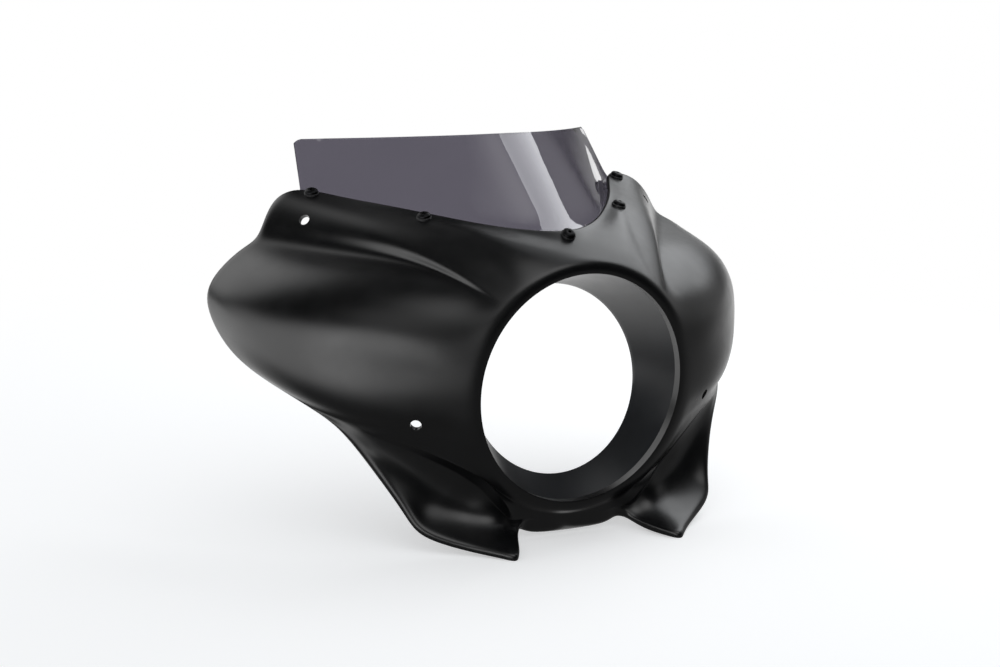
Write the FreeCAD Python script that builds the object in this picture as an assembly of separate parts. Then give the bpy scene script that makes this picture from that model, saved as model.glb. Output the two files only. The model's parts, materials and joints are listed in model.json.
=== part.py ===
import FreeCAD, Part
import math
import os

V = FreeCAD.Vector

# One-piece moulded handlebar fairing with a headlight duct and a bolted windscreen.
# Millimetres. Seen from the front X runs to the right, which is the rider's left;
# Y is rearward, Z up. The origin is the centre of the round headlight opening.

# Driving dimensions of the moulding
WALL = 3.0
OPENING_R = 105.0
BEZEL_CREST = 4.0
BEZEL_FACE = 5.5
BEZEL_BESIDE = 7.0
BEZEL_ABOVE = 2.5
BEZEL_CREST_Y = -0.8
BEZEL_FACE_Y = 1.2
BEZEL_FOOT_Y = 4.5
LAND_DEPTH = 8.0
LAND_WALL = 4.0
RIM_BAND = 7.0
RIM_PROUD = 1.3
RIM_RETURN = 5.5
TOP_RETURN = 4.0

# Headlight duct
DUCT_TAPER = 18.4
DUCT_DEPTH = 51.5
DUCT_DROP = 3.0
DUCT_TILT = 11.0
DUCT_WALL = 2.5
DUCT_FLANGE_WIDTH = 7.0
DUCT_FLANGE = 2.5

# Windscreen
SCREEN_WALL = 3.0
SCREEN_OVERLAP = 27.0
SCREEN_END_OVERLAP = 22.0
SCREEN_GAP = 3.0
SCREEN_LEAN = 5.2
SCREEN_CORNER_R = 9.0

# Screw joints of the windscreen
SCREW_D = 4.8
SCREW_LENGTH = 20.0
HEAD_D = 12.4
HEAD_H = 3.2
SOCKET_AF = 3.0
SOCKET_DEPTH = 1.8
WASHER_D = 13.8
WASHER_H = 2.2
SEAT_SINK = 0.6
SHELL_HOLE_D = 5.6
WELL_FLANGE_D = 13.0
WELL_BODY_D = 8.4
WELL_BULGE_D = 11.0
WELL_BULGE_H = 2.4
WELL_BITE = 1.0
WELL_DEPTH = 13.0
INSERT_D = 6.4
INSERT_H = 8.0
FIT_GAP = 0.05
EASY_GAP = 0.15

# Mounting holes to the fork clamps
MOUNT_HOLE_D = 10.0
MOUNT_PAD_D = 20.0
MOUNT_PAD_H = 1.5

# The body lines below are drawn round an opening of radius 105 and grow with it.
BODY_SCALE = OPENING_R / 105

# Stations of the upper body and wings, on the side X > 0, from the top centre down.
# Each is: angle on the bezel from the top, a point a third and two thirds of the way
# out, the point on the rim, and the share of the way where the fold row lies.
BODY = [
    (0, (0, 19, 123.5), (0, 31.5, 129.5), (0, 41.5, 137.0), 0.45),
    (11, (26, 24, 125), (30, 43, 131.5), (35, 61, 137.0), 0.45),
    (21, (49, 34, 127), (59, 64, 134.5), (70, 94, 139.3), 0.45),
    (30, (70, 50, 129.5), (92, 99, 139), (113, 147, 145), 0.45),
    (36, (87, 65, 128.5), (119, 134, 140.5), (146, 200, 147), 0.45),
    (39, (104, 74, 126), (140, 148, 138), (170, 234, 150), 0.45),
    (42, (124, 84, 120), (158, 154, 132.5), (196, 232, 144), 0.45),
    (44.5, (127, 81, 111.5), (165, 148, 120), (211, 226, 126), 0.45),
    (47, (126, 78, 103), (167, 141, 105.5), (220, 223, 109.5), 0.45),
    (52, (143, 68, 96), (193, 132, 100), (235.5, 221, 101), 0.45),
    (60, (172, 61, 80), (229, 131, 85), (257, 220, 84), 0.45),
    (70, (191, 56, 54), (251, 132, 59), (271, 221, 60), 0.45),
    (80, (188, 50, 26), (249, 120, 29), (268.5, 206, 33), 0.45),
    (89, (179, 40, 2), (233, 96, 4), (260, 178, 10), 0.48),
    (98, (164, 31, -18), (210, 74, -17), (242.5, 146, -7), 0.58),
    (104, (150, 26, -29), (184, 54, -29), (220.5, 105, -23.5), 0.72),
    (110, (142, 23, -37), (172, 46, -38), (205, 76, -37), 0.86),
]

# Stations of the fin below the fold: angle on the bezel, fold, crease, two points on
# the belly of the scoop, and the rim.
FIN = [
    (114, (168, 45, -41), (165, 46, -47), (170, 50, -54), (178, 53, -60), (185, 55, -64)),
    (121, (139, 27, -53), (138, 31, -60), (145, 38, -77), (155, 34, -87), (165.5, 30, -94.5)),
    (128, (118, 15, -63), (118, 21, -70), (128, 31, -90), (144, 27, -102), (157.5, 17, -109.5)),
    (133, (107, 10, -69), (109, 17, -76), (120, 27, -98), (136, 18, -111), (148, 5, -120)),
    (139, (93, 5, -78), (96, 13, -85), (106, 20, -106), (113, 7, -119), (119.5, -14, -128.5)),
    (144, (83, 2.5, -89), (87, 10, -95), (94, 10, -113), (97, -9, -124), (98.5, -33, -131.5)),
    (148, (75, 2, -98), (79, 8, -104), (83, 3, -118), (85, -17, -127), (87, -42.5, -133)),
    (151, (69, 3, -106), (72, 7, -111), (74, 1, -121), (75.5, -12, -127), (77, -32, -132)),
    (154, (62, 5, -115), (63.5, 6, -118), (64, 3, -123), (64.5, -2, -126.5), (65, -10, -130)),
]

# Stations of the chin under the opening, shaped as those of the body.
CHIN = [
    (157, (50, 6.5, -119), (52, 8, -123.5), (53, 9.5, -128.5), 0.5),
    (162, (40, 6.2, -120.5), (41, 7.5, -127), (42, 9, -133), 0.5),
    (171, (20, 6, -122), (20.5, 7, -128.5), (21, 8.5, -134.5), 0.5),
    (180, (0, 6, -122.5), (0, 7, -129), (0, 8.5, -135), 0.5),
]

# A point in the hollow behind the moulding, which every outward direction leaves.
HOLLOW = V(0, 200, 20)

# Screw places on the side X >= 0, and the outward direction of the shell there.
SCREWS = {
    "center": (0, 36.5, 133.7),
    "mid": (104.6, 116, 141),
    "side": (167.5, 218, 150),
}

# Mounting holes on the side X > 0, with the outward direction of the wall.
MOUNT_HOLES = {
    "upper": (182, 196, 125),
    "lower": (153.5, 28, -26),
}

# Upper edge of the windscreen on the side X >= 0, one point for each of the first six
# stations of the body.
SCREEN_TOP = [
    (0, 148, 208.5),
    (33, 159, 206.5),
    (66, 181, 203),
    (104, 214, 198),
    (132, 242, 194),
    (160, 275, 189),
]


def drawn(point):
    """A point of the tables at the size of the part."""
    return V(*point) * BODY_SCALE


def ring_point(half_width, half_height, y, angle):
    """Point of a ring round the opening, at an angle from the top."""
    a = math.radians(angle)
    return V(half_width * math.sin(a), y, half_height * math.cos(a))


def bezel_foot(angle):
    """Point on the valley that runs round the bezel."""
    face = OPENING_R + BEZEL_CREST + BEZEL_FACE
    return ring_point(face + BEZEL_BESIDE, face + BEZEL_ABOVE, BEZEL_FOOT_Y, angle)


def cubic_through(points, t):
    """Point at t on the cubic that passes its four points at t = 0, 1/3, 2/3 and 1."""
    knots = [0.0, 1 / 3, 2 / 3, 1.0]
    total = V(0, 0, 0)
    for i, point in enumerate(points):
        weight = 1.0
        for j, knot in enumerate(knots):
            if j != i:
                weight *= (t - knot) / (knots[i] - knot)
        total += point * weight
    return total


def bezel_rows(angle):
    """Points from inside the opening over the crest of the bezel to its foot."""
    rows = []
    crest = OPENING_R + BEZEL_CREST
    for radius, y in (
        (OPENING_R - BEZEL_CREST, -BEZEL_CREST_Y),
        (OPENING_R, BEZEL_CREST_Y),
        (crest, BEZEL_CREST_Y),
        (crest + BEZEL_FACE, BEZEL_FACE_Y),
    ):
        rows.append(ring_point(radius, radius, y, angle))
    return rows + [bezel_foot(angle)]


def rim_rows(inner, rim):
    """The row a short way inside the rim, and the rim itself, pushed out a little."""
    outward = (rim - inner).normalize()
    return [rim - outward * RIM_BAND, rim + outward * RIM_PROUD]


def body_station(angle, third, two_thirds, rim, fold_share):
    foot, rim = bezel_foot(angle), drawn(rim)
    guide = [foot, drawn(third), drawn(two_thirds), rim]
    shares = [fold_share * k / 4 for k in range(1, 5)]
    shares += [fold_share + (1 - fold_share) * k / 4 for k in range(1, 4)]
    rows = [cubic_through(guide, t) for t in shares]
    band_start = 1 - 2 * RIM_BAND / (rim - foot).Length
    if shares[-1] > band_start:
        squeeze = band_start / shares[-1]
        rows = [cubic_through(guide, t * squeeze) for t in shares]
    return bezel_rows(angle) + rows + rim_rows(rows[-1], rim)


def fin_station(angle, fold, crease, upper_belly, lower_belly, rim):
    foot, fold = bezel_foot(angle), drawn(fold)
    rows = [foot + (fold - foot) * (k / 4) for k in range(1, 5)]
    rows += [drawn(crease), drawn(upper_belly), drawn(lower_belly)]
    return bezel_rows(angle) + rows + rim_rows(rows[-1], drawn(rim))


def mirrored(point):
    return V(-point.x, point.y, point.z)


def closed_net():
    """The stations all the way round: down the side X > 0 and up the other."""
    half = [body_station(*s) for s in BODY]
    half += [fin_station(*s) for s in FIN]
    half += [body_station(*s) for s in CHIN]
    other = [[mirrored(p) for p in row] for row in reversed(half[1:-1])]
    return half + other


def net_normal(net, i, j):
    """Outward unit normal of the net at station i and row j."""
    count, last = len(net), len(net[0]) - 1
    around = net[(i + 1) % count][j] - net[i - 1][j]
    along = net[i][min(j + 1, last)] - net[i][max(j - 1, 0)]
    return around.cross(along).normalize()


def passing_poles(net):
    """Push each pole out by a sixth of the bend round it, so the skin meets the points."""
    count = len(net)
    return [
        [p * (4 / 3) - (net[i - 1][j] + net[(i + 1) % count][j]) * (1 / 6)
         for j, p in enumerate(row)]
        for i, row in enumerate(net)
    ]


def outer_net():
    """The guide points and a last row that turns back at the rim."""
    net = closed_net()
    rim, count, top = len(net[0]) - 1, len(net), len(SCREEN_TOP)
    for i, row in enumerate(net):
        along_screen = min(i, count - i) < top
        depth = TOP_RETURN if along_screen else RIM_RETURN
        row.append(row[rim] - net_normal(net, i, rim - 1) * depth)
    return net


def inner_net(outer):
    """The outer net moved in by the wall, with a square corner inside the rim."""
    last = len(outer[0]) - 1
    net = []
    for i, row in enumerate(outer):
        inward = (row[last - 2] - row[last - 1]).normalize()
        back = (row[last] - row[last - 1]).normalize()
        moved = [p - net_normal(outer, i, j) * WALL for j, p in enumerate(row[:last - 1])]
        moved.append(row[last - 1] + (inward + back) * WALL)
        moved.append(row[last] + inward * WALL)
        net.append(moved)
    return net


def closed_skin(net):
    """A bicubic surface over the net, closed round the opening."""
    poles = passing_poles(net)
    stations, rows = len(poles), len(poles[0])
    surface = Part.BSplineSurface()
    surface.buildFromPolesMultsKnots(
        poles, [1] * (stations + 1), [4] + [1] * (rows - 4) + [4],
        [float(k) for k in range(stations + 1)], [float(k) for k in range(rows - 2)],
        True, False, 3, 3)
    return surface


def strip(first, second):
    """The ruled strip between two closed curves."""
    return Part.makeRuledSurface(first.toShape(), second.toShape())


def closed_solid(faces):
    """The solid inside a closed set of faces."""
    shell = Part.makeShell(faces)
    if not shell.isClosed():
        shell.sewShape()
    solid = Part.makeSolid(shell)
    if solid.Volume < 0:
        solid.reverse()
    return solid


def moulding():
    """The shell before its holes are cut, and its outer skin."""
    outer = outer_net()
    skins = [closed_skin(outer), closed_skin(inner_net(outer))]
    ends = skins[0].bounds()[2:]
    faces = [skin.toShape() for skin in skins]
    for v in ends:
        faces.append(strip(skins[0].vIso(v), skins[1].vIso(v)))
    return closed_solid(faces), skins[0]


def outward_at(skin, guide):
    """The point of the skin nearest to a guide point, and the outward normal there."""
    u, v = skin.parameter(guide)
    point, normal = skin.value(u, v), skin.normal(u, v)
    if normal.dot(point - HOLLOW) < 0:
        normal = normal * -1
    return point, normal.normalize()


def rod(point, axis, diameter, start, end):
    """A cylinder about the axis, between two heights above the point."""
    return Part.makeCylinder(diameter / 2, end - start, point + axis * start, axis)


def both_sides(skin, places):
    """Point and outward normal at each place, and at its image where it is off the centre."""
    sites = {}
    for name, place in places.items():
        guide = drawn(place)
        if guide.x == 0:
            sites[name] = outward_at(skin, guide)
        else:
            sites["left_" + name] = outward_at(skin, guide)
            sites["right_" + name] = outward_at(skin, mirrored(guide))
    return sites


def fairing_shell(solid, screws, mounts):
    """The moulding with its opening, its mounting holes and its screw seats."""
    rearward = V(0, 1, 0)
    crown = V(0, BEZEL_FACE_Y, 0)
    land = Part.makeCylinder(OPENING_R + LAND_WALL, LAND_DEPTH - BEZEL_FACE_Y, crown, rearward)
    bore = Part.makeCylinder(OPENING_R, 3 * LAND_DEPTH, V(0, -LAND_DEPTH, 0), rearward)
    solid = solid.fuse(land).cut(bore)
    back = WALL + MOUNT_PAD_H
    for point, axis in mounts.values():
        solid = solid.fuse(rod(point, axis, MOUNT_PAD_D, -back, -WALL / 2))
        solid = solid.cut(rod(point, axis, MOUNT_HOLE_D, -3 * back, back))
    for point, axis in screws.values():
        for waste in screw_seat(point, axis):
            solid = solid.cut(waste)
    return solid


def screw_seat(point, axis):
    """What a screw joint takes from the shell: a flat seat on either face and its hole."""
    return [
        rod(point, axis, WASHER_D + 2 * EASY_GAP, -SEAT_SINK, WALL),
        rod(point, axis, WELL_FLANGE_D + 2 * EASY_GAP, -2 * WALL, SEAT_SINK - WALL),
        rod(point, axis, SHELL_HOLE_D, -2 * WALL, WALL),
    ]


def headlight_duct():
    """Tapered duct bonded behind the opening, its rear edge leaning back at the top."""
    tilt = math.radians(DUCT_TILT)
    rear_axis = V(0, math.cos(tilt), -math.sin(tilt))
    rear = V(0, DUCT_DEPTH, -DUCT_DROP)
    front = V(0, LAND_DEPTH, 0)

    def cone(grow):
        rings = [
            Part.Wire(Part.makeCircle(OPENING_R + grow, front, V(0, 1, 0))),
            Part.Wire(Part.makeCircle(OPENING_R - DUCT_TAPER + grow, rear, rear_axis)),
        ]
        return Part.makeLoft(rings, True, True)

    flange = Part.makeCylinder(OPENING_R + DUCT_FLANGE_WIDTH, DUCT_FLANGE, front, V(0, 1, 0))
    return cone(DUCT_WALL).fuse(flange).cut(cone(0))


def open_skin(net):
    """A bicubic surface over an open net, clamped at its four edges."""
    inside = [
        [p * (4 / 3) - (net[i - 1][j] + net[i + 1][j]) * (1 / 6) for j, p in enumerate(net[i])]
        for i in range(1, len(net) - 1)
    ]
    poles = [net[0]] + inside + [net[-1]]
    across, up = len(poles), len(poles[0])
    surface = Part.BSplineSurface()
    surface.buildFromPolesMultsKnots(
        poles, [4] + [1] * (across - 4) + [4], [4] + [1] * (up - 4) + [4],
        [float(k) for k in range(across - 2)], [float(k) for k in range(up - 2)],
        False, False, 3, 3)
    return surface


def open_normal(net, i, j):
    """Outward unit normal of an open net at column i and row j."""
    across = net[min(i + 1, len(net) - 1)][j] - net[max(i - 1, 0)][j]
    up = net[i][min(j + 1, len(net[0]) - 1)] - net[i][max(j - 1, 0)]
    return across.cross(up).normalize()


def screen_top():
    """The windscreen's upper edge, whose parameter is the station of the body."""
    half = [drawn(point) for point in SCREEN_TOP]
    points = [mirrored(point) for point in reversed(half[1:])] + half
    curve = Part.BSplineCurve()
    curve.interpolate(Points=points, Parameters=[float(k) for k in range(1 - len(half), len(half))])
    return curve


def screen_net(skin):
    """Front face of the windscreen: behind the shell's upper band, then up to its top."""
    u0, u1, v0, v1 = skin.bounds()
    rim, top = skin.vIso(v1 - 1 / 3), screen_top()
    last = len(SCREEN_TOP) - 1
    depth = WALL + SCREEN_GAP
    half = []
    for k in range(2 * last + 1):
        station = k / 2
        u = (station - 1) % (u1 - u0)
        normal = outward_at(skin, skin.value(u, v1 - 2))[1]
        down = rim.tangent(u)[0].cross(normal).normalize()
        taper = max(0, station - last + 1)
        overlap = SCREEN_OVERLAP * (1 - taper) + SCREEN_END_OVERLAP * taper
        levels = []
        for share in (1.0, 0.5):
            point, outward = outward_at(skin, rim.value(u) + down * (overlap * share))
            levels.append(point - outward * depth)
        edge = levels[1] + (levels[1] - levels[0]) - outward * SCREEN_LEAN
        rise = (top.value(station) - edge) / 3
        half.append(levels + [edge, edge + rise, edge + rise * 2, edge + rise * 3])
    other = [[mirrored(p) for p in row] for row in reversed(half[1:])]
    return other + half


def screen_sheet(front, grow):
    """The sheet between its two faces, thicker by a gap on both when used as a cutter."""
    def face_at(depth):
        return open_skin([[p - open_normal(front, i, j) * depth for j, p in enumerate(row)]
                          for i, row in enumerate(front)])

    skins = [face_at(-grow), face_at(SCREEN_WALL + grow)]
    u0, u1, v0, v1 = skins[0].bounds()
    faces = [skin.toShape() for skin in skins]
    for u in (u0, u1):
        faces.append(strip(skins[0].uIso(u), skins[1].uIso(u)))
    for v in (v0, v1):
        faces.append(strip(skins[0].vIso(v), skins[1].vIso(v)))
    return closed_solid(faces)


def windscreen(front, screws):
    """Curved smoked sheet with rounded upper corners and a hole for each well nut."""
    sheet = screen_sheet(front, 0)
    for row, beside in ((front[-1], front[-2]), (front[0], front[1])):
        sheet = sheet.cut(corner_cutter(row[-1], beside[-1], row[-2]))
    for point, axis in screws.values():
        sheet = sheet.cut(rod(point, axis, WELL_BODY_D + 2 * EASY_GAP, -6 * WALL, WALL))
    return sheet


def screen_back(sheet, point, axis):
    """Height above the point at which the axis leaves the back of the sheet."""
    inside = sheet.common(Part.makeLine(point, point - axis * SCREW_LENGTH))
    return min((vertex.Point - point).dot(axis) for vertex in inside.Vertexes)


def corner_cutter(corner, along, below):
    """The waste outside the arc that rounds a corner between its two edges."""
    a = (along - corner).normalize()
    b = (below - corner).normalize()
    normal = a.cross(b).normalize()
    b = normal.cross(a)
    r = SCREEN_CORNER_R
    start, end = corner + a * r, corner + b * r
    middle = corner + (a + b) * (r * (1 - math.sqrt(0.5)))
    out = (a + b) * -1
    edge = Part.Wire([
        Part.Arc(start, middle, end).toShape(),
        Part.makeLine(end, end - a * r),
        Part.makeLine(end - a * r, corner + out * r),
        Part.makeLine(corner + out * r, start - b * r),
        Part.makeLine(start - b * r, start),
    ])
    face = Part.Face(edge)
    face.translate(normal * (-4 * SCREEN_WALL))
    return face.extrude(normal * (8 * SCREEN_WALL))


def turned(point, axis, outline):
    """A solid of revolution; the outline's pairs are radius and height above the point."""
    corners = [V(r, 0, h) for r, h in outline]
    face = Part.Face(Part.makePolygon(corners + corners[:1]))
    solid = face.revolve(V(0, 0, 0), V(0, 0, 1), 360)
    solid.Placement = FreeCAD.Placement(point, FreeCAD.Rotation(V(0, 0, 1), axis))
    return solid


def hexagon_prism(across_flats, bottom, top):
    radius = across_flats / math.sqrt(3)
    corners = [V(radius * math.cos(math.radians(60 * k)), radius * math.sin(math.radians(60 * k)),
                 bottom) for k in range(7)]
    return Part.Face(Part.makePolygon(corners)).extrude(V(0, 0, top - bottom))


def screw(point, axis):
    """Button-head screw with a hexagon socket."""
    under = WASHER_H - SEAT_SINK
    shank, head = SCREW_D / 2, HEAD_D / 2
    dome = [(head, under), (head, under + 0.25 * HEAD_H), (0.93 * head, under + 0.6 * HEAD_H),
            (0.78 * head, under + 0.85 * HEAD_H), (0.55 * head, under + HEAD_H)]
    outline = [(0, under - SCREW_LENGTH), (shank - 0.5, under - SCREW_LENGTH),
               (shank, under - SCREW_LENGTH + 0.5), (shank, under)]
    outline += dome + [(0, under + HEAD_H)]
    solid = turned(V(0, 0, 0), V(0, 0, 1), outline)
    top = under + HEAD_H
    solid = solid.cut(hexagon_prism(SOCKET_AF, top - SOCKET_DEPTH, top + 1))
    solid.Placement = FreeCAD.Placement(point, FreeCAD.Rotation(V(0, 0, 1), axis))
    return solid


def washer(point, axis):
    """Thick nylon washer in its seat, with an eased upper edge."""
    bottom, top = -SEAT_SINK, WASHER_H - SEAT_SINK
    bore, edge = SCREW_D / 2 + EASY_GAP, WASHER_D / 2
    return turned(point, axis, [(bore, bottom), (edge, bottom), (edge, top - 0.5),
                                (edge - 0.5, top), (bore, top)])


def well_nut(point, axis, back, cutter):
    """Rubber sleeve: its flange parts shell and screen, its body swells behind them."""
    seat = SEAT_SINK - WALL
    front = back + SCREEN_WALL
    end = back - WELL_DEPTH
    flange, body, bulge = WELL_FLANGE_D / 2, WELL_BODY_D / 2, WELL_BULGE_D / 2
    bore, pocket = SCREW_D / 2 + EASY_GAP, INSERT_D / 2
    sleeve = turned(point, axis, [
        (bore, seat), (flange, seat), (flange, front - WELL_BITE), (body, front - WELL_BITE),
        (body, back + WELL_BITE), (bulge, back + WELL_BITE), (bulge, back - WELL_BULGE_H),
        (body, back - 2 * WELL_BULGE_H), (body, end), (pocket, end), (pocket, end + INSERT_H),
        (bore, end + INSERT_H)])
    held = rod(point, axis, WELL_BODY_D, end, seat)
    return sleeve.cut(cutter.cut(held))


def nut_insert(point, axis, back):
    """Brass nut bonded in the end of the rubber sleeve."""
    end = back - WELL_DEPTH
    bore = SCREW_D / 2 + FIT_GAP
    return turned(point, axis, [(bore, end), (INSERT_D / 2, end),
                                (INSERT_D / 2, end + INSERT_H), (bore, end + INSERT_H)])


def main():
    os.makedirs("parts", exist_ok=True)
    solid, skin = moulding()
    screws = both_sides(skin, SCREWS)
    mounts = both_sides(skin, MOUNT_HOLES)
    front = screen_net(skin)
    sheet, cutter = screen_sheet(front, 0), screen_sheet(front, FIT_GAP)
    nodes = {
        "fairing_shell": fairing_shell(solid, screws, mounts),
        "headlight_duct": headlight_duct(),
        "windscreen": windscreen(front, screws),
    }
    for name, (point, axis) in screws.items():
        back = screen_back(sheet, point, axis)
        nodes["screw_" + name] = screw(point, axis)
        nodes["washer_" + name] = washer(point, axis)
        nodes["well_nut_" + name] = well_nut(point, axis, back, cutter)
        nodes["nut_insert_" + name] = nut_insert(point, axis, back)
    for name, shape in nodes.items():
        if shape.ShapeType != "Solid" and len(shape.Solids) == 1:
            shape = shape.Solids[0]
        shape.exportStep("parts/" + name + ".step")
        print(name, len(shape.Solids), shape.isValid(), round(shape.Volume))
    for name, (point, axis) in mounts.items():
        print(name, [round(c, 2) for c in point], [round(c, 4) for c in axis])


main()
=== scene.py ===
import json
import math

import bmesh
import bpy
import numpy as np
from mathutils import Matrix, Vector


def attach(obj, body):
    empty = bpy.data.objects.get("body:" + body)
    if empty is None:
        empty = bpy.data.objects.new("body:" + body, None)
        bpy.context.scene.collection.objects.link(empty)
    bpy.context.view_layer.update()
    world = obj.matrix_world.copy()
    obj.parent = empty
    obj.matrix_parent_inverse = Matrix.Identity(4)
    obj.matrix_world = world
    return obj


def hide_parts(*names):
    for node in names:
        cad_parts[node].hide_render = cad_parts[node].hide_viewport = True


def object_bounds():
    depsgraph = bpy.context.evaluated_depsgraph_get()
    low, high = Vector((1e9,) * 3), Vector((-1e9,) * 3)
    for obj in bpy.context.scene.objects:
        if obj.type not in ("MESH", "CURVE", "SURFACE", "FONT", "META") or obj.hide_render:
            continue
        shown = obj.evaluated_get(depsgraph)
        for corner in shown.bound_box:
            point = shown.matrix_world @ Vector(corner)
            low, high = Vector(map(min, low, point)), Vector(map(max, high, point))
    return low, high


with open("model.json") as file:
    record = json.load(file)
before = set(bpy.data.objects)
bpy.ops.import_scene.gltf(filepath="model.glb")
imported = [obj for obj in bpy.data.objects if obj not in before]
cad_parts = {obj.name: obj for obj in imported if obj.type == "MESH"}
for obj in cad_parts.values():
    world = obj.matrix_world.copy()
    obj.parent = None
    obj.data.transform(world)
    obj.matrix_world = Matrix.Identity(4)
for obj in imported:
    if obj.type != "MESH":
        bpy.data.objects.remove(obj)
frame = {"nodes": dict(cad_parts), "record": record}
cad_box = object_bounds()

MM = 0.001

# Camera of the photograph: degrees, pixels of its 1000 x 667 frame, and metres.
AZIMUTH, ELEVATION, ROLL = -30.83, 13.09, 2.60
FOCAL_PX, DISTANCE = 2600.0, 2.331
ORIGIN_PX = (582.4, 388.4)
FRAME_PX = (1000.0, 667.0)
SENSOR_MM = 36.0
CLIP_END = 60

# Colors
SHELL_COLOR = (0.0026, 0.0027, 0.0031, 1)
DUCT_COLOR = (0.012, 0.013, 0.015, 1)
SCREEN_TINT = (0.080, 0.075, 0.093, 1)
BLACK_OXIDE = (0.012, 0.012, 0.013, 1)
NYLON = (0.008, 0.008, 0.009, 1)
RUBBER = (0.014, 0.013, 0.013, 1)
BRASS = (0.62, 0.44, 0.20, 1)
WHITE = (1, 1, 1, 1)

# Plastics: color, roughness, scale and depth of the grain. Metals: the same without depth.
PLASTICS = {
    "shell_satin_black": (SHELL_COLOR, 0.30, 2600, 0.00005),
    "duct_satin_black": (DUCT_COLOR, 0.36, 2200, 0.00005),
    "washer_nylon": (NYLON, 0.5, 4000, 0.00004),
    "well_nut_rubber": (RUBBER, 0.7, 3000, 0.00008),
}
METALS = {
    "screw_black_oxide": (BLACK_OXIDE, 0.38, 5000),
    "insert_brass": (BRASS, 0.3, 4000),
}
FASTENERS = {
    "screw_": "screw_black_oxide",
    "washer_": "washer_nylon",
    "well_nut_": "well_nut_rubber",
    "nut_insert_": "insert_brass",
}

# Darkest and lightest tone as factors of the color, the change of gloss and the bump.
PLASTIC_TONES, PLASTIC_GLOSS, PLASTIC_BUMP = (0.75, 1.25), 0.03, 0.18
METAL_TONES, METAL_GLOSS, METAL_BUMP = (0.8, 1.15), 0.06, 0.2
METAL_GRAIN_DEPTH = 0.00002
SHEET_TONES, SHEET_ROUGHNESS, ACRYLIC_IOR = (0.97, 1.03), (0.01, 0.025), 1.49

# Studio, in degrees and metres. Azimuth 0 is ahead of the object and turns toward +X.
ROOM_LIGHT = 0.56
ROOM_COLOR = (0.94, 0.97, 1.0, 1)
LAMP_COLOR = (0.96, 0.98, 1.0)
OBJECT_MIDDLE = (0, 0.1, 0.02)
SHEET_MIDDLE = (0, 0.1, 0.17)

# Soft boxes: name, azimuth, elevation, distance, size, radiance. The strip is for the sheet.
SOFT_BOXES = [
    ("key_box", 102, 54, 1.3, (0.9, 1.2), 0.7),
    ("rear_box", 118, 36, 1.7, (1.2, 1.2), 1.85),
]
SHEET_STRIP = ("sheet_strip", 102, 54, 1.3, (0.9, 1.25), 4.1)

# Bright parts of the walls, as mirrored rays see them: azimuth, elevation, radius of the full
# part, radius where it ends, strength. The gloom is the level between them.
WALL_GLOW = [
    (-156, 34, 16, 34, 1.8),
    (-80, -6, 8, 30, 2.2),
    (-112, -8, 10, 30, 1.8),
    (-50, 4, 12, 29, 2.8),
    (-15, 26, 5, 25, 0.1),
    (10, 64, 8, 26, 2.2),
    (-45, 46, 4, 20, 0.8),
    (98, 14, 4, 26, 0.4),
    (140, 2, 4, 16, 0.3),
]
WALL_GLOOM = 0.01

# The same on the floor: azimuth, both radii, strength, and the distances between which it
# rises to that strength.
FLOOR_GLOW = [
    (-100, 14, 48, 2.2, 0.36, 0.75),
    (-52, 10, 33, 2.1, 0.6, 1.4),
    (172, 30, 75, 1.3, -1.0, 0.0),
]
FLOOR_GLOOM = 0.18

# Floor: its side, the paper's color, its own light and where it fades into the room.
FLOOR_SIDE = 40
PAPER = (0.8, 0.8, 0.8, 1)
LIFT = 0.42
FADE_START, FADE_END = 0.55, 1.2

# The moulding's lines, in millimetres, as the source of the solids states them.
WALL = 3.0
OPENING_R = 105.0
BEZEL_CREST = 4.0
BEZEL_FACE = 5.5
BEZEL_BESIDE = 7.0
BEZEL_ABOVE = 2.5
BEZEL_CREST_Y = -0.8
BEZEL_FACE_Y = 1.2
BEZEL_FOOT_Y = 4.5
LAND_DEPTH = 8.0
LAND_WALL = 4.0
RIM_BAND = 7.0
RIM_PROUD = 1.3
RIM_RETURN = 5.5
TOP_RETURN = 4.0
TOP_STATIONS = 6
MOUNT_PAD_D = 20.0
MOUNT_PAD_H = 1.5

DUCT_TAPER = 18.4
DUCT_DEPTH = 51.5
DUCT_DROP = 3.0
DUCT_TILT = 11.0
DUCT_WALL = 2.5
DUCT_FLANGE_WIDTH = 7.0
DUCT_FLANGE = 2.5

# Eased edges of the duct. The shoulder is a share of the way back and an inset.
EDGE_START = 0.985
EDGE_SHOULDER = (0.996, 0.25)
EDGE_EASE = 0.8
FLANGE_EASE = 0.5
BEHIND_FLANGE = 0.08

# Density of the meshes: steps per station and rows of the skin, the first of them closer
# together over the bezel; points round the duct and its rows; sides of a drilled hole.
SHELL_STEPS = 7
BEZEL_SHARE, BEZEL_ROWS, OUTER_ROWS = 0.2, 30, 80
DUCT_STEPS, DUCT_ROWS_INSIDE, DUCT_ROWS_OUTSIDE = 288, 18, 16
ROD_SIDES = 64
MERGE_DISTANCE = 1e-6

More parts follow.
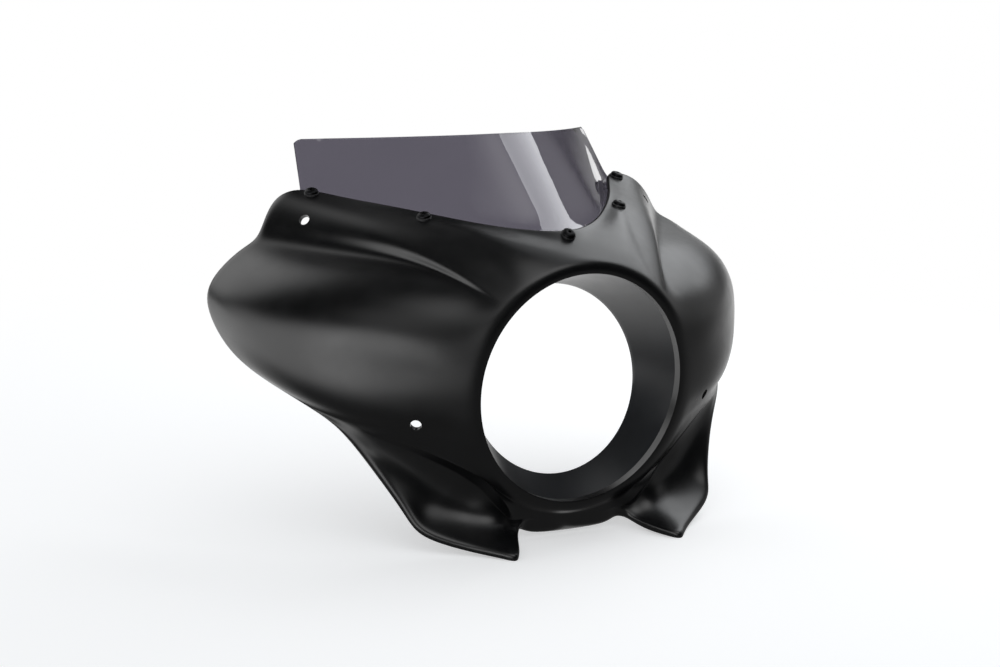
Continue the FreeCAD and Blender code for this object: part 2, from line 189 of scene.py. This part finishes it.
# Stations on the side X > 0: bezel angle, points at one and two thirds, rim, fold's share.
BODY = [
    (0, (0, 19, 123.5), (0, 31.5, 129.5), (0, 41.5, 137.0), 0.45),
    (11, (26, 24, 125), (30, 43, 131.5), (35, 61, 137.0), 0.45),
    (21, (49, 34, 127), (59, 64, 134.5), (70, 94, 139.3), 0.45),
    (30, (70, 50, 129.5), (92, 99, 139), (113, 147, 145), 0.45),
    (36, (87, 65, 128.5), (119, 134, 140.5), (146, 200, 147), 0.45),
    (39, (104, 74, 126), (140, 148, 138), (170, 234, 150), 0.45),
    (42, (124, 84, 120), (158, 154, 132.5), (196, 232, 144), 0.45),
    (44.5, (127, 81, 111.5), (165, 148, 120), (211, 226, 126), 0.45),
    (47, (126, 78, 103), (167, 141, 105.5), (220, 223, 109.5), 0.45),
    (52, (143, 68, 96), (193, 132, 100), (235.5, 221, 101), 0.45),
    (60, (172, 61, 80), (229, 131, 85), (257, 220, 84), 0.45),
    (70, (191, 56, 54), (251, 132, 59), (271, 221, 60), 0.45),
    (80, (188, 50, 26), (249, 120, 29), (268.5, 206, 33), 0.45),
    (89, (179, 40, 2), (233, 96, 4), (260, 178, 10), 0.48),
    (98, (164, 31, -18), (210, 74, -17), (242.5, 146, -7), 0.58),
    (104, (150, 26, -29), (184, 54, -29), (220.5, 105, -23.5), 0.72),
    (110, (142, 23, -37), (172, 46, -38), (205, 76, -37), 0.86),
]

# Stations of the fin: bezel angle, fold, crease, two points of the belly, rim.
FIN = [
    (114, (168, 45, -41), (165, 46, -47), (170, 50, -54), (178, 53, -60), (185, 55, -64)),
    (121, (139, 27, -53), (138, 31, -60), (145, 38, -77), (155, 34, -87), (165.5, 30, -94.5)),
    (128, (118, 15, -63), (118, 21, -70), (128, 31, -90), (144, 27, -102), (157.5, 17, -109.5)),
    (133, (107, 10, -69), (109, 17, -76), (120, 27, -98), (136, 18, -111), (148, 5, -120)),
    (139, (93, 5, -78), (96, 13, -85), (106, 20, -106), (113, 7, -119), (119.5, -14, -128.5)),
    (144, (83, 2.5, -89), (87, 10, -95), (94, 10, -113), (97, -9, -124), (98.5, -33, -131.5)),
    (148, (75, 2, -98), (79, 8, -104), (83, 3, -118), (85, -17, -127), (87, -42.5, -133)),
    (151, (69, 3, -106), (72, 7, -111), (74, 1, -121), (75.5, -12, -127), (77, -32, -132)),
    (154, (62, 5, -115), (63.5, 6, -118), (64, 3, -123), (64.5, -2, -126.5), (65, -10, -130)),
]

# Stations of the chin, shaped as those of the body.
CHIN = [
    (157, (50, 6.5, -119), (52, 8, -123.5), (53, 9.5, -128.5), 0.5),
    (162, (40, 6.2, -120.5), (41, 7.5, -127), (42, 9, -133), 0.5),
    (171, (20, 6, -122), (20.5, 7, -128.5), (21, 8.5, -134.5), 0.5),
    (180, (0, 6, -122.5), (0, 7, -129), (0, 8.5, -135), 0.5),
]

# Rows of the fold and of the crease under it. Their bend is tight in the fins and the chin
# (1.0), and opens toward the smooth body, where the two poles of a row lie apart.
FOLD_ROWS = (8, 9)
FOLD_APART = 0.25
FOLD_STATIONS = {len(BODY) - 2: 0.4, len(BODY) - 1: 0.8}
FOLD_STATIONS.update({len(BODY) + k: 1.0 for k in range(len(FIN) + len(CHIN))})


# The moulding as a mesh

def ring_point(half_width, half_height, y, angle):
    a = math.radians(angle)
    return np.array((half_width * math.sin(a), y, half_height * math.cos(a)))


def bezel_rows(angle):
    """Points from inside the opening over the crest of the bezel to its foot."""
    crest = OPENING_R + BEZEL_CREST
    face = crest + BEZEL_FACE
    rings = ((OPENING_R - BEZEL_CREST, -BEZEL_CREST_Y), (OPENING_R, BEZEL_CREST_Y),
             (crest, BEZEL_CREST_Y), (face, BEZEL_FACE_Y))
    rows = [ring_point(radius, radius, y, angle) for radius, y in rings]
    return rows + [ring_point(face + BEZEL_BESIDE, face + BEZEL_ABOVE, BEZEL_FOOT_Y, angle)]


def cubic_through(points, t):
    """Point at t on the cubic that passes its four points at t = 0, 1/3, 2/3 and 1."""
    knots = (0.0, 1 / 3, 2 / 3, 1.0)
    total = np.zeros(3)
    for i, point in enumerate(points):
        weight = 1.0
        for j, knot in enumerate(knots):
            if j != i:
                weight *= (t - knot) / (knots[i] - knot)
        total = total + point * weight
    return total


def rim_rows(inner, rim):
    outward = (rim - inner) / np.linalg.norm(rim - inner)
    return [rim - outward * RIM_BAND, rim + outward * RIM_PROUD]


def body_station(angle, third, two_thirds, rim, fold_share):
    start = bezel_rows(angle)
    guide = [start[-1], np.array(third), np.array(two_thirds), np.array(rim)]
    shares = [fold_share * k / 4 for k in range(1, 5)]
    shares += [fold_share + (1 - fold_share) * k / 4 for k in range(1, 4)]
    band_start = 1 - 2 * RIM_BAND / np.linalg.norm(guide[3] - guide[0])
    squeeze = min(1, band_start / shares[-1])
    rows = [cubic_through(guide, t * squeeze) for t in shares]
    return start + rows + rim_rows(rows[-1], guide[3])


def fin_station(angle, fold, *below):
    start = bezel_rows(angle)
    foot, fold = start[-1], np.array(fold)
    rows = [foot + (fold - foot) * (k / 4) for k in range(1, 5)]
    rows += [np.array(point, float) for point in below[:3]]
    return start + rows + rim_rows(rows[-1], np.array(below[3]))


def net_normals(net):
    """Outward unit normals of a net that is closed the first way."""
    around = np.roll(net, -1, 0) - np.roll(net, 1, 0)
    along = np.gradient(net, axis=1)
    normal = np.cross(around, along)
    return normal / np.linalg.norm(normal, axis=2, keepdims=True)


def outer_net():
    """The stations all the way round, and a last row that turns back at the rim."""
    half = [body_station(*s) for s in BODY]
    half += [fin_station(*s) for s in FIN]
    half += [body_station(*s) for s in CHIN]
    half = np.array(half)
    net = np.concatenate([half, half[-2:0:-1] * (-1, 1, 1)])
    place = np.arange(len(net))
    along_screen = np.minimum(place, len(net) - place) < TOP_STATIONS
    depth = np.where(along_screen, TOP_RETURN, RIM_RETURN)[:, None]
    last = net[:, -1] - rim_normals(net) * depth
    return np.concatenate([net, last[:, None]], axis=1)


def rim_normals(net):
    around = np.roll(net, -1, 0)[:, -2] - np.roll(net, 1, 0)[:, -2]
    along = net[:, -1] - net[:, -3]
    normal = np.cross(around, along)
    return normal / np.linalg.norm(normal, axis=1, keepdims=True)


def inner_net(outer):
    """The outer net moved in by the wall, with a square corner inside the rim."""
    inward = outer[:, -3] - outer[:, -2]
    back = outer[:, -1] - outer[:, -2]
    inward /= np.linalg.norm(inward, axis=1, keepdims=True)
    back /= np.linalg.norm(back, axis=1, keepdims=True)
    net = outer - net_normals(outer) * WALL
    net[:, -2] = outer[:, -2] + (inward + back) * WALL
    net[:, -1] = outer[:, -1] + inward * WALL
    return net


def around_weights(count, steps):
    """Weights of the poles for points all the way round, a number of steps per station."""
    weights = np.zeros((count * steps, count))
    for k in range(count * steps):
        i, f = divmod(k / steps, 1)
        cubic = ((1 - f) ** 3, 3 * f ** 3 - 6 * f * f + 4, 1 + 3 * f * (1 + f - f * f), f ** 3)
        for shift, value in enumerate(cubic):
            weights[k, (int(i) - 1 + shift) % count] += value / 6
    return weights


def along_weights(count, places):
    """Weights of the poles of a clamped cubic at places from 0 to count - 3."""
    knots = np.concatenate([[0] * 3, np.arange(count - 2), [count - 3] * 3]).astype(float)
    table = []
    for t in places:
        span = min(int(t), count - 4) + 3
        row = np.zeros(len(knots) - 1)
        row[span] = 1
        for degree in range(1, 4):
            for i in range(len(knots) - 1 - degree):
                rise, fall = knots[i + degree] - knots[i], knots[i + degree + 1] - knots[i + 1]
                left = (t - knots[i]) / rise * row[i] if rise else 0
                right = (knots[i + degree + 1] - t) / fall * row[i + 1] if fall else 0
                row[i] = left + right
        table.append(row[:count])
    return np.array(table)


def tighten_folds(poles):
    """Doubles the poles of the fold rows: at one place in the fins, apart on the smooth sides."""
    order = [min(k, len(poles) - k) for k in range(len(poles))]
    apart = FOLD_APART * (1 - np.array([FOLD_STATIONS.get(k, 0.0) for k in order]))[:, None]
    rows = []
    for row in range(poles.shape[1]):
        here = poles[:, row]
        if row in FOLD_ROWS:
            rows.append(here + (poles[:, row - 1] - here) * apart)
            rows.append(here + (poles[:, row + 1] - here) * apart)
        else:
            rows.append(here)
    return np.stack(rows, axis=1)


def skin_points(net, steps, places):
    """Points of the skin over a net, as rows of the mesh all the way round."""
    near = (np.roll(net, 1, 0) + np.roll(net, -1, 0)) / 6
    poles = net * (4 / 3) - near
    poles = tighten_folds(poles)
    places = np.asarray(places) * (poles.shape[1] - 3)
    return np.einsum("ai,bj,ijc->bac", around_weights(len(poles), steps),
                     along_weights(poles.shape[1], places), poles)


def start_at_opening(rows):
    """Drops what lies inside the opening and starts the skin on its edge."""
    radius = np.hypot(rows[..., 0], rows[..., 2])
    first = int(np.argmax((radius > OPENING_R).all(axis=1)))
    edge = rows[first - 1].copy()
    edge[:, 0] *= OPENING_R / radius[first - 1]
    edge[:, 2] *= OPENING_R / radius[first - 1]
    return np.concatenate([edge[None], rows[first:]])


def loops_to_mesh(name, loops):
    """A closed mesh of quads through loops of equal length, the last joined to the first."""
    loops = np.asarray(loops) * MM
    count, size = loops.shape[:2]
    faces = []
    for a in range(count):
        b = (a + 1) % count
        for k in range(size):
            n = (k + 1) % size
            faces.append((a * size + k, b * size + k, b * size + n, a * size + n))
    mesh = bpy.data.meshes.new(name)
    mesh.from_pydata(loops.reshape(-1, 3).tolist(), [], faces)
    return mesh


def ring_loop(radius, y, angles):
    return np.stack([radius * np.sin(angles), np.full(len(angles), y), radius * np.cos(angles)], 1)


def shell_mesh():
    """The moulding between its two skins, with the land that holds the duct."""
    outer = outer_net()
    places = np.concatenate([np.linspace(0, BEZEL_SHARE, BEZEL_ROWS, endpoint=False),
                             np.linspace(BEZEL_SHARE, 1, OUTER_ROWS)])
    front = start_at_opening(skin_points(outer, SHELL_STEPS, places))
    back = start_at_opening(skin_points(inner_net(outer), SHELL_STEPS, places))
    angles = np.arctan2(front[0][:, 0], front[0][:, 2])
    land = [ring_loop(OPENING_R + LAND_WALL, BEZEL_FACE_Y + WALL, angles),
            ring_loop(OPENING_R + LAND_WALL, LAND_DEPTH, angles),
            ring_loop(OPENING_R, LAND_DEPTH, angles)]
    loops = list(front) + list(back[::-1]) + land
    return loops_to_mesh("shell_body", loops)


def duct_mesh():
    """The tapered duct, its rear edge leaning, with eased edges."""
    angles = np.linspace(0, 2 * math.pi, DUCT_STEPS, endpoint=False)
    tilt = math.radians(DUCT_TILT)

    def ring(share, grow):
        lean = tilt * share
        radius = OPENING_R - DUCT_TAPER * share + grow
        y = LAND_DEPTH + (DUCT_DEPTH - LAND_DEPTH) * share
        loop = ring_loop(radius, 0, angles)
        return np.stack([loop[:, 0], y + loop[:, 2] * math.sin(lean),
                         -DUCT_DROP * share + loop[:, 2] * math.cos(lean)], 1)

    shoulder, inset = EDGE_SHOULDER
    inside = [ring(share, 0) for share in np.linspace(0, EDGE_START, DUCT_ROWS_INSIDE)]
    edge = [ring(shoulder, inset), ring(1.0, EDGE_EASE),
            ring(1.0, DUCT_WALL - EDGE_EASE), ring(shoulder, DUCT_WALL - inset)]
    outside = [ring(share, DUCT_WALL)
               for share in np.linspace(EDGE_START, BEHIND_FLANGE, DUCT_ROWS_OUTSIDE)]
    flange = OPENING_R + DUCT_FLANGE_WIDTH
    back_y = LAND_DEPTH + DUCT_FLANGE
    skirt = [ring_loop(flange - FLANGE_EASE, back_y, angles),
             ring_loop(flange, back_y - FLANGE_EASE, angles),
             ring_loop(flange, LAND_DEPTH, angles)]
    return loops_to_mesh("duct_body", inside + edge + outside + skirt)


def add_piece(name, mesh, angle, nodes, material):
    """Puts a mesh in the scene as a piece that stands for CAD nodes."""
    work = bmesh.new()
    work.from_mesh(mesh)
    bmesh.ops.remove_doubles(work, verts=work.verts, dist=MERGE_DISTANCE)
    bmesh.ops.recalc_face_normals(work, faces=work.faces)
    work.to_mesh(mesh)
    work.free()
    mesh.shade_smooth()
    mesh.set_sharp_from_angle(angle=math.radians(angle))
    mesh.materials.clear()
    mesh.materials.append(material)
    piece = bpy.data.objects.new(name, mesh)
    bpy.context.scene.collection.objects.link(piece)
    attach(piece, "root")
    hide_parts(*nodes)
    return piece


def apply_change(piece, change):
    bpy.context.view_layer.update()
    bpy.context.view_layer.objects.active = piece
    bpy.ops.object.modifier_apply(modifier=change.name)


def even_normals(piece):
    """Lets the large faces decide the shading, so that slivers at the rim don't show."""
    change = piece.modifiers.new("even", "WEIGHTED_NORMAL")
    change.keep_sharp = True
    apply_change(piece, change)


def apply_rod(shell, operation, mount, radius, start, end):
    """Joins or cuts a rod on a mount's axis; start and end are along it, outward."""
    work = bmesh.new()
    bmesh.ops.create_cone(work, cap_ends=True, segments=ROD_SIDES, radius1=radius * MM,
                          radius2=radius * MM, depth=(end - start) * MM)
    bmesh.ops.translate(work, verts=work.verts, vec=(0, 0, (start + end) / 2 * MM))
    mesh = bpy.data.meshes.new("rod")
    work.to_mesh(mesh)
    work.free()
    mesh.materials.append(shell.data.materials[0])
    rod = bpy.data.objects.new("rod", mesh)
    bpy.context.scene.collection.objects.link(rod)
    turn = Vector((0, 0, 1)).rotation_difference(Vector(mount["axis"]).normalized())
    rod.matrix_world = Matrix.Translation(mount["pos_m"]) @ turn.to_matrix().to_4x4()
    change = shell.modifiers.new("rod", "BOOLEAN")
    change.operation, change.solver, change.object = operation, "FAST", rod
    apply_change(shell, change)
    bpy.data.objects.remove(rod)


def mounting_holes(shell, mounts):
    """The pads inside the wall and the holes through them, whose mounts lie half-way through."""
    back = -(WALL + MOUNT_PAD_H) / 2
    for mount in mounts:
        apply_rod(shell, "UNION", mount, MOUNT_PAD_D / 2, back, back + MOUNT_PAD_H + WALL / 2)
        apply_rod(shell, "DIFFERENCE", mount, mount["dims"]["r_mm"], 4 * back, -4 * back)


# Camera, materials and studio

def place_camera():
    """The camera of the photograph, which sees the origin at its place in the frame."""
    az, el, roll = (math.radians(a) for a in (AZIMUTH, ELEVATION, ROLL))
    back = Vector((math.sin(az) * math.cos(el), -math.cos(az) * math.cos(el), math.sin(el)))
    level = Vector((math.cos(az), math.sin(az), 0))
    upright = back.cross(level)
    right = level * math.cos(roll) + upright * math.sin(roll)
    up = upright * math.cos(roll) - level * math.sin(roll)
    across = (ORIGIN_PX[0] - FRAME_PX[0] / 2) * DISTANCE / FOCAL_PX
    below = (ORIGIN_PX[1] - FRAME_PX[1] / 2) * DISTANCE / FOCAL_PX
    place = back * DISTANCE - right * across + up * below
    data = bpy.data.cameras.new("photo_camera")
    data.sensor_width = SENSOR_MM
    data.lens = FOCAL_PX / FRAME_PX[0] * SENSOR_MM
    data.clip_end = CLIP_END
    camera = bpy.data.objects.new("photo_camera", data)
    camera.matrix_world = Matrix((
        (right.x, up.x, back.x, place.x),
        (right.y, up.y, back.y, place.y),
        (right.z, up.z, back.z, place.z),
        (0, 0, 0, 1)))
    bpy.context.scene.collection.objects.link(camera)
    bpy.context.scene.camera = camera


class Nodes:
    """A material's or the world's node tree, with short ways to add to it."""

    def __init__(self, owner):
        owner.use_nodes = True
        self.tree = owner.node_tree
        self.tree.nodes.clear()

    def put(self, socket, value):
        if isinstance(value, bpy.types.NodeSocket):
            self.tree.links.new(value, socket)
        else:
            socket.default_value = value

    def add(self, kind, settings=None, **inputs):
        node = self.tree.nodes.new(kind)
        for name, value in (settings or {}).items():
            setattr(node, name, value)
        for name, value in inputs.items():
            self.put(node.inputs[name.replace("_", " ")], value)
        return node

    def math(self, operation, first, second):
        node = self.add("ShaderNodeMath", {"operation": operation})
        for socket, value in zip(node.inputs, (first, second)):
            self.put(socket, value)
        return node.outputs[0]

    def mix(self, factor, first, second):
        node = self.add("ShaderNodeMixShader", Fac=factor)
        self.put(node.inputs[1], first)
        self.put(node.inputs[2], second)
        return node.outputs[0]

    def noise(self, scale, detail=2.0, roughness=0.5):
        place = self.add("ShaderNodeTexCoord").outputs["Object"]
        node = self.add("ShaderNodeTexNoise", Vector=place, Scale=scale, Detail=detail,
                        Roughness=roughness)
        return node.outputs["Fac"]

    def spread(self, value, low, high, start=0.25, end=0.75, smooth=False):
        kind = "SMOOTHSTEP" if smooth else "LINEAR"
        node = self.add("ShaderNodeMapRange", {"interpolation_type": kind}, Value=value,
                        From_Min=start, From_Max=end, To_Min=low, To_Max=high)
        return node.outputs[0]

    def tones(self, value, dark, light):
        ramp = self.add("ShaderNodeValToRGB", Fac=value)
        ramp.color_ramp.elements[0].position = 0.3
        ramp.color_ramp.elements[0].color = dark
        ramp.color_ramp.elements[1].position = 0.7
        ramp.color_ramp.elements[1].color = light
        return ramp.outputs["Color"]

    def bump(self, height, strength, distance):
        node = self.add("ShaderNodeBump", Height=height, Strength=strength, Distance=distance)
        return node.outputs["Normal"]


def shades(color, factors):
    """A darker and a lighter shade of a color."""
    return [tuple(c * factor for c in color[:3]) + (1,) for factor in factors]


def plastic(name, color, roughness, grain, depth):
    """Moulded plastic: fine grain, and slow changes of tone and of gloss."""
    material = bpy.data.materials.new(name)
    nodes = Nodes(material)
    tone = nodes.tones(nodes.noise(22, 4), *shades(color, PLASTIC_TONES))
    gloss = nodes.spread(nodes.noise(60, 5, 0.6), roughness - PLASTIC_GLOSS,
                         roughness + PLASTIC_GLOSS)
    skin = nodes.add("ShaderNodeBsdfPrincipled", Base_Color=tone, Roughness=gloss,
                     Normal=nodes.bump(nodes.noise(grain, 3), PLASTIC_BUMP, depth))
    nodes.add("ShaderNodeOutputMaterial", Surface=skin.outputs[0])
    return material


def metal(name, color, roughness, grain):
    """Metal: fine grain, and small changes of tone and of gloss."""
    material = bpy.data.materials.new(name)
    nodes = Nodes(material)
    tone = nodes.tones(nodes.noise(300, 3), *shades(color, METAL_TONES))
    gloss = nodes.spread(nodes.noise(900, 3), roughness - METAL_GLOSS, roughness + METAL_GLOSS)
    bump = nodes.bump(nodes.noise(grain, 2), METAL_BUMP, METAL_GRAIN_DEPTH)
    skin = nodes.add("ShaderNodeBsdfPrincipled", Base_Color=tone, Roughness=gloss, Metallic=1.0,
                     Normal=bump)
    nodes.add("ShaderNodeOutputMaterial", Surface=skin.outputs[0])
    return material


def smoked_sheet(name, tint):
    """Clear tinted acrylic, polished, with a slight change of tone."""
    material = bpy.data.materials.new(name)
    nodes = Nodes(material)
    tone = nodes.tones(nodes.noise(9, 2), *shades(tint, SHEET_TONES))
    gloss = nodes.spread(nodes.noise(400, 3), *SHEET_ROUGHNESS)
    skin = nodes.add("ShaderNodeBsdfPrincipled", Base_Color=tone, Roughness=gloss,
                     IOR=ACRYLIC_IOR, Transmission_Weight=1.0)
    nodes.add("ShaderNodeOutputMaterial", Surface=skin.outputs[0])
    return material


def direction_to(azimuth, elevation):
    a, e = math.radians(azimuth), math.radians(elevation)
    return Vector((math.sin(a) * math.cos(e), -math.cos(a) * math.cos(e), math.sin(e)))


def soft_box(name, azimuth, elevation, distance, size, radiance, target=OBJECT_MIDDLE):
    """A rectangular lamp that faces the target from a direction, as bright as it says."""
    data = bpy.data.lights.new(name, "AREA")
    data.shape = "RECTANGLE"
    data.size, data.size_y = size
    data.color = LAMP_COLOR
    data.energy = radiance * math.pi * size[0] * size[1]
    light = bpy.data.objects.new(name, data)
    toward = direction_to(azimuth, elevation)
    light.location = Vector(target) + toward * distance
    light.rotation_euler = (-toward).to_track_quat("-Z", "Y").to_euler()
    bpy.context.scene.collection.objects.link(light)
    return light


def link_light(light, piece, state):
    """Keeps a lamp's light on one piece (INCLUDE) or off it (EXCLUDE)."""
    lit = bpy.data.collections.new(light.name + "_receivers")
    lit.objects.link(piece)
    lit.collection_objects[0].light_linking.link_state = state
    light.light_linking.receiver_collection = lit


def glow(nodes, direction, lobes, gloom):
    """Brightness toward a direction: a dark level with bright lobes on it."""
    total = gloom
    for azimuth, elevation, inner, outer, strength in lobes:
        facing = nodes.add("ShaderNodeVectorMath", {"operation": "DOT_PRODUCT"})
        nodes.put(facing.inputs[0], direction)
        facing.inputs[1].default_value = direction_to(azimuth, elevation)
        start, end = (math.cos(math.radians(angle)) for angle in (outer, inner))
        lobe = nodes.spread(facing.outputs["Value"], 0.0, strength, start, end, smooth=True)
        total = nodes.math("ADD", lobe, total)
    return total


def seen_rays(path, nodes):
    """One for the rays that show a surface as it is: from the camera, mirrored or let through."""
    seen = nodes.math("MAXIMUM", path["Is Camera Ray"], path["Is Glossy Ray"])
    return nodes.math("MAXIMUM", seen, path["Is Transmission Ray"])


def studio():
    """A white room whose mirrored walls are dark between their bright parts."""
    world = bpy.data.worlds.new("studio")
    bpy.context.scene.world = world
    nodes = Nodes(world)
    path = nodes.add("ShaderNodeLightPath").outputs
    direction = nodes.add("ShaderNodeTexCoord").outputs["Generated"]
    walls = glow(nodes, direction, WALL_GLOW, WALL_GLOOM)
    room = nodes.add("ShaderNodeBackground", Color=ROOM_COLOR, Strength=ROOM_LIGHT)
    white = nodes.add("ShaderNodeBackground", Color=WHITE, Strength=1.0)
    bright = nodes.add("ShaderNodeBackground", Color=WHITE, Strength=walls)
    shown = nodes.mix(path["Is Glossy Ray"], white.outputs[0], bright.outputs[0])
    both = nodes.mix(seen_rays(path, nodes), room.outputs[0], shown)
    nodes.add("ShaderNodeOutputWorld", Surface=both)
    return [soft_box(*box) for box in SOFT_BOXES]


def floor_glow(nodes, ahead, reach):
    """Brightness of the floor as mirrored rays see it: a dark level with bright parts on it."""
    total = FLOOR_GLOOM
    for azimuth, inner, outer, strength, start, end in FLOOR_GLOW:
        lobe = glow(nodes, ahead, [(azimuth, 0, inner, outer, strength)], 0.0)
        away = nodes.spread(reach, 0.0, 1.0, start, end, smooth=True)
        total = nodes.math("ADD", nodes.math("MULTIPLY", lobe, away), total)
    return total


def floor_paper():
    """White paper that fades into the white room."""
    material = bpy.data.materials.new("floor_white")
    nodes = Nodes(material)
    path = nodes.add("ShaderNodeLightPath").outputs
    place = nodes.add("ShaderNodeTexCoord").outputs["Object"]
    length = nodes.add("ShaderNodeVectorMath", {"operation": "LENGTH"}, Vector=place)
    reach = length.outputs["Value"]
    unit = nodes.add("ShaderNodeVectorMath", {"operation": "NORMALIZE"}, Vector=place)
    ahead = unit.outputs["Vector"]
    paper = nodes.add("ShaderNodeBsdfDiffuse", Color=PAPER)
    seen = seen_rays(path, nodes)
    lift = nodes.add("ShaderNodeEmission", Color=WHITE, Strength=nodes.math("MULTIPLY", seen, LIFT))
    near = nodes.add("ShaderNodeAddShader")
    nodes.put(near.inputs[0], paper.outputs[0])
    nodes.put(near.inputs[1], lift.outputs[0])
    far = nodes.add("ShaderNodeEmission", Color=WHITE, Strength=1.0)
    fade = nodes.spread(reach, 0.0, 1.0, FADE_START, FADE_END, smooth=True)
    shown = nodes.mix(nodes.math("MULTIPLY", fade, seen), near.outputs[0], far.outputs[0])
    lit = floor_glow(nodes, ahead, reach)
    mirrored = nodes.add("ShaderNodeEmission", Color=WHITE, Strength=lit)
    nodes.add("ShaderNodeOutputMaterial",
              Surface=nodes.mix(path["Is Glossy Ray"], shown, mirrored.outputs[0]))
    return material


def floor():
    """The floor at the object's lowest point, which keeps its shadow."""
    lowest = cad_box[0][2]
    bpy.ops.mesh.primitive_plane_add(size=FLOOR_SIDE, location=(0, 0, lowest))
    plane = bpy.context.object
    plane.name = "floor"
    plane.data.materials.append(floor_paper())


def dress(boxes):
    """The pieces in their materials, and the lamps that light the sheet apart from the rest."""
    skins = {name: plastic(name, *look) for name, look in PLASTICS.items()}
    skins.update({name: metal(name, *look) for name, look in METALS.items()})
    sheet_skin = smoked_sheet("smoked_acrylic", SCREEN_TINT)

    shell = add_piece("shell_body", shell_mesh(), 40, ["fairing_shell"],
                      skins["shell_satin_black"])
    mounting_holes(shell, [m for m in frame["record"]["mounts"] if m["name"].endswith("_hole")])
    add_piece("duct_body", duct_mesh(), 30, ["headlight_duct"],
              skins["duct_satin_black"])
    sheet = frame["nodes"]["windscreen"].data.copy()
    screen = add_piece("smoked_windscreen", sheet, 30, ["windscreen"], sheet_skin)
    even_normals(screen)
    link_light(soft_box(*SHEET_STRIP, target=SHEET_MIDDLE), screen, "INCLUDE")
    for box in boxes:
        link_light(box, screen, "EXCLUDE")
    for name, node in frame["nodes"].items():
        for start, skin in FASTENERS.items():
            if name.startswith(start):
                node.data.materials.clear()
                node.data.materials.append(skins[skin])


place_camera()
lamps = studio()
floor()
dress(lamps)

bpy.context.scene.view_settings.view_transform = "Standard"
